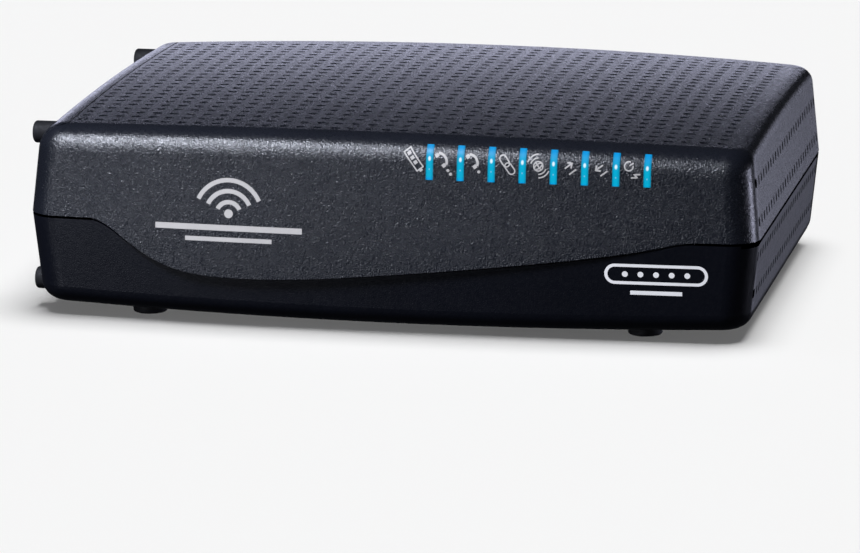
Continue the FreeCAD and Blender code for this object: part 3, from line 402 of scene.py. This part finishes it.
def dress_all():
    """Gives every CAD node its material."""
    upper = casing("upper_casing", CASING_COLOR, COARSE_DEPTH, CASING_ROUGHNESS)
    door = casing("door_casing", CASING_COLOR, COARSE_DEPTH, CASING_ROUGHNESS, painted_door_edge_shade)
    lower = casing("lower_casing", LOWER_SHADED_COLOR, FINE_DEPTH, LOWER_ROUGHNESS,
                   painted_seam_shade, LOWER_SHEEN)
    black = plastic("black_plastic", (0.015, 0.015, 0.016))
    chip = plastic("chip_black", (0.02, 0.02, 0.022), roughness=0.45, grain=0.2)
    foot = rubber("rubber", (0.008, 0.008, 0.009))
    steel = metal("screw_steel", (0.6, 0.6, 0.62))
    tin = metal("tin", (0.68, 0.69, 0.7), roughness=0.28, brush=(1, 6, 1))
    gold = metal("copper_gold", (0.85, 0.62, 0.25), roughness=0.22)
    nickel = metal("nickel", NICKEL, roughness=0.2)
    fins = metal("aluminium", (0.72, 0.73, 0.75), roughness=0.35, brush=(1, 12, 1), depth=0.02)
    ferrite = plastic("ferrite", (0.05, 0.05, 0.055), roughness=0.6, grain=0.5, depth=0.05)
    white = plastic("ptfe", (0.85, 0.85, 0.82), roughness=0.45)
    socket = threaded_metal("nickel_thread", NICKEL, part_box("coax_nut")[1].y)
    panel = plastic("panel", (0.02, 0.022, 0.026), grain=0.5, depth=0.05)
    wrap = plastic("battery_wrap", (0.05, 0.052, 0.058), roughness=0.35, grain=0.9)
    tape = plastic("yellow_tape", (0.8, 0.55, 0.04), roughness=0.3, grain=0.6, depth=0.03)
    materials = {
        "upper_shell": upper, "battery_door": door, "lower_shell": lower,
        "stand_feet": foot, "bottom_feet": foot, "shell_screws": steel, "board_screws": steel,
        "rear_panel": panel, "battery_pack": wrap, "transformer_coil": tape,
        "light_pipe_holder": black, "battery_bay": black, "power_inlet": black,
        "transformer_base": black, "reset_switch": chip, "processor": chip,
        "memory_chips": chip, "status_leds": white, "line_relays": white,
        "coax_insulator": white, "battery_contacts": gold, "ethernet_contacts": gold,
        "phone_contacts": gold, "coax_contact": gold, "power_pins": nickel,
        "coax_nut": nickel, "coax_connector": socket, "ethernet_jack": tin,
        "tuner_shield": tin, "fuse_clips": tin, "processor_heat_sink": fins,
        "power_heat_sink": fins, "mains_choke": ferrite, "transformer_core": ferrite,
        "phone_jack_1": plastic("grey_plastic", JACK_GREY),
        "phone_jack_2": plastic("grey_plastic_2", JACK_GREY),
        "battery_pull_tab": woven_tape("strap", (0.72, 0.72, 0.68)),
        "reset_button": plastic("reset_plastic", (0.4, 0.02, 0.02), roughness=0.35),
        "main_board": board_mask("board_green"),
        "capacitors": plastic("capacitor_sleeve", (0.015, 0.02, 0.07), roughness=0.25),
        "fuse": clear_glass("glass"),
    }
    for node, material in materials.items():
        dress(node, material)
    dress_lenses()


# ================================================================ printed marks
def casing_front():
    """Search trees of the shells, used to lay flat marks on their front."""
    trees = []
    for node in ("upper_shell", "lower_shell"):
        mesh = nodes[node].data
        corners = [vertex.co for vertex in mesh.vertices]
        faces = [polygon.vertices for polygon in mesh.polygons]
        trees.append(BVHTree.FromPolygons(corners, faces))
    return trees


def on_casing(trees, point):
    """The place just off the casing that is straight behind a point (x, z) in millimetres."""
    start = Vector((point.x * MM, -1, point.y * MM))
    hits = [tree.ray_cast(start, Vector((0, 1, 0))) for tree in trees]
    place, normal = min((hit[:2] for hit in hits if hit[0]), key=lambda hit: hit[0].y)
    return place + normal * INK_LIFT


def densified(points, closed):
    """The same line with a point at least every MARK_STEP."""
    corners = [Vector(point) for point in points]
    if closed:
        corners.append(corners[0])
    line = []
    for start, end in zip(corners, corners[1:]):
        steps = math.ceil((end - start).length / MARK_STEP)
        line += [start.lerp(end, step / steps) for step in range(steps)]
    return line if closed else line + corners[-1:]


def ribbon(points, width=LINE, closed=False):
    """A printed line as a strip of four-sided faces, mitred at its corners."""
    line = densified(points, closed)
    last = len(line) - 1
    sides = []
    for number, point in enumerate(line):
        before = line[number - 1] if closed or number > 0 else point
        after = line[(number + 1) % len(line)] if closed or number < last else point
        way = ((point - before).normalized() + (after - point).normalized()).normalized()
        step = (after - point if after != point else point - before).normalized()
        normal = Vector((-way.y, way.x)) * (width / 2 / max(way.dot(step), MITRE_LIMIT))
        sides.append((point + normal, point - normal))
    if closed:
        sides.append(sides[0])
    return [(a, b, d, c) for (a, b), (c, d) in zip(sides, sides[1:])]


def arc(middle, radius, start, end, steps=20):
    """Points round a circle, or an ellipse where radius is a pair, between two angles."""
    wide, high = radius if isinstance(radius, tuple) else (radius, radius)
    angles = [math.radians(start + (end - start) * step / steps) for step in range(steps + 1)]
    return [(middle[0] + wide * math.cos(a), middle[1] + high * math.sin(a)) for a in angles]


def ring(middle, radius, width=LINE):
    """Outline of a circle or an ellipse."""
    return ribbon(arc(middle, radius, 0, 360)[:-1], width, closed=True)


def capsule(middle, length, height, width=LINE):
    """Outline with straight sides and round ends."""
    x, y = middle
    reach, radius = (length - height) / 2, height / 2
    points = arc((x + reach, y), radius, -90, 90) + arc((x - reach, y), radius, 90, 270)
    return ribbon(points, width, closed=True)


def dot(middle, radius):
    """One round face."""
    return [[Vector(point) for point in arc(middle, radius, 0, 360)[:-1]]]


# Each sign below is a list of faces, drawn in millimetres round its own middle.
def battery_sign():
    """A case with three bars and a pole."""
    case = ribbon([(-3.8, -1.1), (2.8, -1.1), (2.8, 1.1), (-3.8, 1.1)], closed=True)
    pole = ribbon([(3.3, -0.5), (3.3, 0.5)], width=0.6)
    bars = [ribbon([(x, -0.55), (x, 0.55)], width=1.0) for x in (-2.7, -1.1, 0.5)]
    return case + pole + sum(bars, [])


def handset_sign(dots):
    """Telephone handset, with as many dots as its line's number."""
    handle = ribbon(arc((-1.2, -1.6), 2.4, 35, 145), width=0.7)
    earpiece = ribbon([(-3.5, -0.9), (-2.4, -0.9)], width=1.1)
    mouthpiece = ribbon([(0.0, -0.9), (1.1, -0.9)], width=1.1)
    count = sum([dot((2.4 + 1.3 * number, -0.8), 0.45) for number in range(dots)], [])
    return handle + earpiece + mouthpiece + count


def chain_sign():
    """Two links that overlap."""
    links = [capsule((x, 0), length=3.6, height=1.9) for x in (-1.3, 1.3)]
    return sum(links, [])


def globe_sign():
    """A globe with two waves on each side."""
    globe = ring((0, 0), 1.35) + ring((0, 0), (0.6, 1.35)) + ribbon([(-1.3, 0), (1.3, 0)])
    waves = [ribbon(arc((0, 0), radius, side - 35, side + 35))
             for radius in (2.3, 3.3) for side in (0, 180)]
    return globe + sum(waves, [])


def arrow_sign(way):
    """Arrow up (way 1) or down (-1) beside a short line."""
    shaft = ribbon([(-0.6, -1.2 * way), (-0.6, 1.0 * way)], BOLD)
    head = ribbon([(-1.6, 0.3 * way), (-0.6, 1.3 * way), (0.4, 0.3 * way)], BOLD)
    return shaft + head + ribbon([(1.5, -1.2), (1.5, 1.3)], BOLD)


def power_sign():
    """The usual switch sign beside a bolt."""
    switch = ribbon(arc((-1.6, 0), 1.25, 120, 420)) + ribbon([(-1.6, 0.2), (-1.6, 1.6)])
    bolt = ribbon([(2.2, 1.4), (1.2, -0.1), (2.4, 0.1), (1.4, -1.4)], BOLD)
    return switch + bolt


def signal_sign():
    """A dot with three arcs fanning from it, over two plain bars."""
    fans = [ribbon(arc((0, 0), radius, 25, 155, steps=40), width=1.3)
            for radius in (3.6, 6.8, 10.0)]
    long_bar = ribbon([(-22, -4.0), (22, -4.0)], width=1.7)
    short_bar = ribbon([(-13, -7.4), (13, -7.4)], width=1.3)
    return dot((0, 0.2), 1.3) + sum(fans, []) + long_bar + short_bar


def stripe_sign():
    """A long round-ended frame round a row of dots, with a short bar under it."""
    outline = capsule((0, 1.6), length=29.0, height=5.2, width=0.9)
    dots = [dot((x, 1.6), 0.85) for x in (-9.0, -4.5, 0.0, 4.5, 9.0)]
    bar = ribbon([(-7.5, -3.9), (7.5, -3.9)], width=1.2)
    return outline + sum(dots, []) + bar


def placed(faces, middle, turn=0.0):
    """Faces of a sign turned by an angle and moved to a place (x, z) in millimetres."""
    spin = Matrix.Rotation(turn, 2)
    return [[spin @ point + Vector(middle) for point in face] for face in faces]


def print_mark(name, faces, trees, ink):
    """One mark as a mesh on the casing, which moves with it."""
    corners = []
    polygons = []
    for face in faces:
        polygons.append(tuple(range(len(corners), len(corners) + len(face))))
        corners += [on_casing(trees, point) for point in face]
    mesh = bpy.data.meshes.new(name)
    mesh.from_pydata(corners, [], polygons)
    mesh.materials.append(ink)
    mark = bpy.data.objects.new(name, mesh)
    bpy.context.scene.collection.objects.link(mark)
    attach(mark, BODY)


def print_marks():
    """A sign beside each light, the emblem on the left and the stripes in the right corner."""
    trees = casing_front()
    grey, white = [
        plastic(name, color, roughness=0.6, grain=0.5, depth=0.01, variation=0.04)
        for name, color in (("grey_ink", GREY_INK), ("white_ink", WHITE_INK))
    ]
    signs = [battery_sign(), handset_sign(2), handset_sign(1), chain_sign(), globe_sign(),
             arrow_sign(1), arrow_sign(-1), power_sign()]
    for node, sign in zip(LIGHTS, signs):
        low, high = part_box(node)
        middle = (low.x / MM - SIGN_ASIDE, high.z / MM - SIGN_BELOW)
        print_mark(node + "_sign", placed(sign, middle, SIGN_TURN), trees, grey)
    seam = SEAM_Z / MM
    emblem = placed(signal_sign(), (EMBLEM_X, seam + EMBLEM_ABOVE))
    print_mark("front_emblem", emblem, trees, grey)
    stripes = placed(stripe_sign(), (STRIPES_X, seam - STRIPES_BELOW))
    print_mark("corner_stripes", stripes, trees, white)


# ================================================================ floor, light, camera
def floor():
    """The white stage, which lights nothing and casts no shadow."""
    half = FLOOR_HALF
    mesh = bpy.data.meshes.new("floor")
    corners = [(-half, -half, 0), (half, -half, 0), (half, half, 0), (-half, half, 0)]
    mesh.from_pydata(corners, [], [(0, 1, 2, 3)])
    plane = bpy.data.objects.new("floor", mesh)
    bpy.context.scene.collection.objects.link(plane)
    plane.location.z = -FLOOR_DROP
    recipe = Recipe("floor")
    white = (FLOOR_WHITE, FLOOR_WHITE, FLOOR_WHITE, 1)
    recipe.set(Base_Color=white, Roughness=1.0, Specular_IOR_Level=0.0)
    mesh.materials.append(recipe.material)
    plane.visible_diffuse = False
    plane.visible_glossy = False
    plane.visible_shadow = False
    return plane


def receivers(name, floor_plane, state):
    """Collection for light linking that holds only the floor, lit alone or left out."""
    collection = bpy.data.collections.new(name)
    collection.objects.link(floor_plane)
    collection.collection_objects[0].light_linking.link_state = state
    return collection


def softbox(name, place, aim, size, power, color, receiving):
    """A lamp with an even face, turned to its aim, that lights one collection."""
    data = bpy.data.lights.new(name, "AREA")
    data.shape = "RECTANGLE"
    data.size, data.size_y = size
    data.energy = power
    data.color = color
    lamp = bpy.data.objects.new(name, data)
    lamp.location = place
    lamp.rotation_euler = (Vector(aim) - Vector(place)).to_track_quat("-Z", "Y").to_euler()
    lamp.visible_camera = False
    lamp.light_linking.receiver_collection = receiving
    bpy.context.scene.collection.objects.link(lamp)


def floor_sun(name, strength, casts_shadow, floor_only):
    """A broad, nearly overhead light that falls on the floor alone."""
    data = bpy.data.lights.new(name, "SUN")
    data.energy = strength
    data.angle = FLOOR_SUN_ANGLE
    data.use_shadow = casts_shadow
    sun = bpy.data.objects.new(name, data)
    sun.rotation_euler = FLOOR_SUN_TURN
    sun.light_linking.receiver_collection = floor_only
    bpy.context.scene.collection.objects.link(sun)


def lighting(floor_plane):
    """Dim surroundings, two suns for the floor and softboxes for everything else."""
    world = bpy.data.worlds.new("studio")
    world.use_nodes = True
    background = world.node_tree.nodes["Background"]
    background.inputs["Color"].default_value = (*COOL, 1)
    background.inputs["Strength"].default_value = WORLD_STRENGTH
    bpy.context.scene.world = world
    bpy.context.scene.view_settings.view_transform = "Standard"
    floor_only = receivers("floor_only", floor_plane, "INCLUDE")
    not_floor = receivers("not_floor", floor_plane, "EXCLUDE")
    floor_sun("floor_light", FLOOR_SUN, True, floor_only)
    floor_sun("floor_bounce", FLOOR_FILL, False, floor_only)
    for settings in SOFTBOXES:
        softbox(*settings, not_floor)


def camera():
    """The photograph's viewing angle."""
    data = bpy.data.cameras.new("camera")
    data.lens = CAMERA_LENS
    data.sensor_width = SENSOR
    data.clip_end = CAMERA_REACH
    eye = bpy.data.objects.new("camera", data)
    eye.location = CAMERA_PLACE
    sight = Vector(CAMERA_AIM) - Vector(CAMERA_PLACE)
    eye.rotation_euler = sight.to_track_quat("-Z", "Y").to_euler()
    bpy.context.scene.collection.objects.link(eye)
    bpy.context.scene.camera = eye


dress_all()
print_marks()
lighting(floor())
camera()
